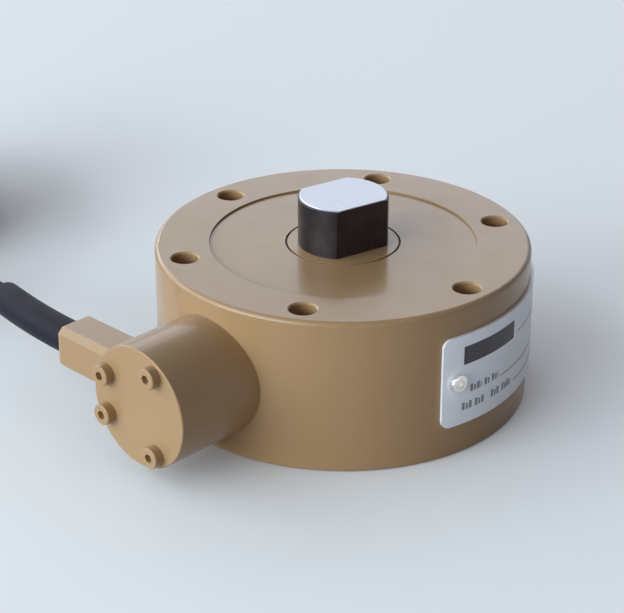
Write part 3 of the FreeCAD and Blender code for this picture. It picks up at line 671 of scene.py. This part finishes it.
# %% Turned steel, screws, brass and boards
rings_per_metre = 14000.0
turned_steel, tree, shader = finish_material("turned_steel", (0.55, 0.55, 0.54), 0.34, 1.0)
geometry = tree.nodes.new("ShaderNodeNewGeometry")
flatten = tree.nodes.new("ShaderNodeVectorMath")
flatten.operation = "MULTIPLY"
flatten.inputs[1].default_value = (1.0, 1.0, 0.0)
length = tree.nodes.new("ShaderNodeVectorMath")
length.operation = "LENGTH"
rings = tree.nodes.new("ShaderNodeMath")
rings.operation = "MULTIPLY"
rings.inputs[1].default_value = rings_per_metre
wave = tree.nodes.new("ShaderNodeMath")
wave.operation = "SINE"
tree.links.new(geometry.outputs["Position"], flatten.inputs[0])
tree.links.new(flatten.outputs["Vector"], length.inputs[0])
tree.links.new(length.outputs["Value"], rings.inputs[0])
tree.links.new(rings.outputs["Value"], wave.inputs[0])
add_bump(tree, shader, wave.outputs["Value"], 0.000004, 0.6)
tree.links.new(between(tree, noise(tree, 90.0, 3.0), 0.28, 0.42), shader.inputs["Roughness"])
dress(turned_steel, "bottom_cover")

screw_steel, tree, shader = finish_material("screw_steel", (0.50, 0.50, 0.50), 0.3, 1.0)
tree.links.new(between(tree, noise(tree, 900.0, 3.0), 0.24, 0.40), shader.inputs["Roughness"])
dress(screw_steel, "bottom_cover_screws", "bridge_board_screws", "terminal_board_screws", "housing_screws")

brass, tree, shader = finish_material("turned_brass", (0.72, 0.52, 0.22), 0.28, 1.0)
tree.links.new(between(tree, noise(tree, 700.0, 3.0), 0.22, 0.38), shader.inputs["Roughness"])
dress(brass, "bridge_board_spacers", "terminal_board_spacers", "terminal_pins", "gland_washer", "gland_nut")

laminate, tree, shader = finish_material("board_laminate", (0.03, 0.16, 0.06), 0.35)
tree.links.new(blend_colors(tree, between(tree, noise(tree, 1800.0, 3.0), 0.0, 1.0), (0.025, 0.14, 0.05),
                            (0.04, 0.19, 0.07)), shader.inputs["Base Color"])
dress(laminate, "gauge_ring_board", "bridge_board", "terminal_board")

ceramic, tree, shader = finish_material("resistor_ceramic", (0.02, 0.02, 0.022), 0.4)
tree.links.new(between(tree, noise(tree, 2500.0, 2.0), 0.34, 0.5), shader.inputs["Roughness"])
dress(ceramic, "bridge_resistors")

core_plastic, tree, shader = finish_material("core_plastic", (0.42, 0.03, 0.02), 0.4)
tree.links.new(between(tree, noise(tree, 900.0, 2.0), 0.34, 0.48), shader.inputs["Roughness"])
dress(core_plastic, "bridge_wires", "cable_cores")

foil, tree, shader = finish_material("gauge_foil", (0.62, 0.33, 0.05), 0.25)
tree.links.new(blend_colors(tree, between(tree, noise(tree, 1600.0, 2.0), 0.0, 1.0), (0.56, 0.29, 0.04),
                            (0.68, 0.38, 0.08)), shader.inputs["Base Color"])
dress(foil, *["strain_gauge_%d" % number for number in range(1, 9)])
print("materials:", len(bpy.data.materials))

# %% [markdown]
# ## Floor
#
# The picture has a plain pale floor without a horizon, so a large plane is enough. Its paper takes the
# cell's shadow. A glow of its own, which only camera, mirror and glass rays see, lifts it towards the
# picture's even pale ground without lighting the object. The glow fades where something stands close to
# the paper, which paints shade under and round the cell, so that the dark line under it stays.

# %% Floor
floor_size = 3.0
floor_drop = 0.05 * MM
floor_glow = 0.34
glow_fades_within = 50.0 * MM
floor_mesh = bpy.data.meshes.new("floor")
half = floor_size / 2
floor_mesh.from_pydata([(-half, -half, 0), (half, -half, 0), (half, half, 0), (-half, half, 0)], [],
                       [(0, 1, 2, 3)])
floor = bpy.data.objects.new("floor", floor_mesh)
floor.location.z = -floor_drop
scene.collection.objects.link(floor)


def seen_rays(tree):
    """One for the rays that see a background: camera, mirror and glass rays. Nought for all others."""
    path = tree.nodes.new("ShaderNodeLightPath")
    total = path.outputs["Is Camera Ray"]
    for name in ("Is Glossy Ray", "Is Transmission Ray"):
        add = tree.nodes.new("ShaderNodeMath")
        add.operation = "ADD"
        add.use_clamp = True
        tree.links.new(total, add.inputs[0])
        tree.links.new(path.outputs[name], add.inputs[1])
        total = add.outputs["Value"]
    return total


def scaled(tree, factor, amount):
    """A number multiplied by a fixed amount."""
    node = tree.nodes.new("ShaderNodeMath")
    node.operation = "MULTIPLY"
    node.inputs[1].default_value = amount
    tree.links.new(factor, node.inputs[0])
    return node.outputs["Value"]


floor_paper, tree, shader = finish_material("floor_paper", (0.60, 0.60, 0.62), 0.9)
shader.inputs["Specular IOR Level"].default_value = 0.0
shader.inputs["Emission Color"].default_value = (0.82, 0.88, 0.98, 1.0)
# Ambient occlusion dims the glow close to the cell and the cable: painted shade on the floor under them.
painted_shade_occlusion = tree.nodes.new("ShaderNodeAmbientOcclusion")
painted_shade_occlusion.inputs["Distance"].default_value = glow_fades_within
lift = tree.nodes.new("ShaderNodeMath")
lift.operation = "MULTIPLY"
tree.links.new(painted_shade_occlusion.outputs["AO"], lift.inputs[0])
tree.links.new(scaled(tree, seen_rays(tree), floor_glow), lift.inputs[1])
tree.links.new(lift.outputs["Value"], shader.inputs["Emission Strength"])
dress(floor_paper, floor)

# %% [markdown]
# ## Light
#
# The picture's light is soft daylight: a broad window at the left in front, a low wide light from the front,
# a weaker one at the left side, a low sheen from behind that glances off the top, and a little warm light
# from the room at the right. All lamps are wide and far off, so the light falls evenly and no shadow has a
# hard edge.

# %% Lamps
lamp_aim = Vector((0, 0, 0.03))


def soft_lamp(name, azimuth, elevation, distance, width, height, strength, color=(1.0, 1.0, 1.0)):
    """A wide lamp that faces the cell from an azimuth and an elevation."""
    data = bpy.data.lights.new(name, "AREA")
    data.shape = "RECTANGLE"
    data.size = width
    data.size_y = height
    data.energy = strength
    data.color = color
    lamp = bpy.data.objects.new(name, data)
    turn = math.radians(azimuth)
    rise = math.radians(elevation)
    away = Vector((math.cos(turn) * math.cos(rise), math.sin(turn) * math.cos(rise), math.sin(rise)))
    lamp.location = lamp_aim + away * distance
    lamp.rotation_mode = "QUATERNION"
    lamp.rotation_quaternion = away.to_track_quat("Z", "Y")
    scene.collection.objects.link(lamp)


soft_lamp("window_left", -122.0, 29.0, 3.2, 5.0, 2.8, 125.0, (0.82, 0.96, 1.0))
soft_lamp("room_front", -96.0, 15.0, 3.2, 3.4, 1.3, 95.0, (0.86, 0.96, 1.0))
soft_lamp("sheen_behind", 133.0, 26.0, 3.0, 3.2, 1.3, 18.0, (0.88, 0.92, 1.0))
soft_lamp("side_left", 174.0, 22.0, 3.0, 2.0, 1.4, 22.0, (0.92, 0.96, 1.0))
soft_lamp("lamp_right", -18.0, 30.0, 3.0, 2.0, 1.4, 8.0, (1.0, 0.80, 0.60))
print("lamps:", len(bpy.data.lights))

# %% [markdown]
# The world is a pale room that only the camera, mirrors and glass see. It lights nothing by itself,
# so the lamps alone set how bright the object is.

# %% World
world_glow = 0.76
world = bpy.data.worlds.new("pale_room")
scene.world = world
world.use_nodes = True
background = world.node_tree.nodes["Background"]
background.inputs["Color"].default_value = (0.88, 0.93, 1.0, 1.0)
tree = world.node_tree
tree.links.new(scaled(tree, seen_rays(tree), world_glow), background.inputs["Strength"])
scene.view_settings.view_transform = "Standard"
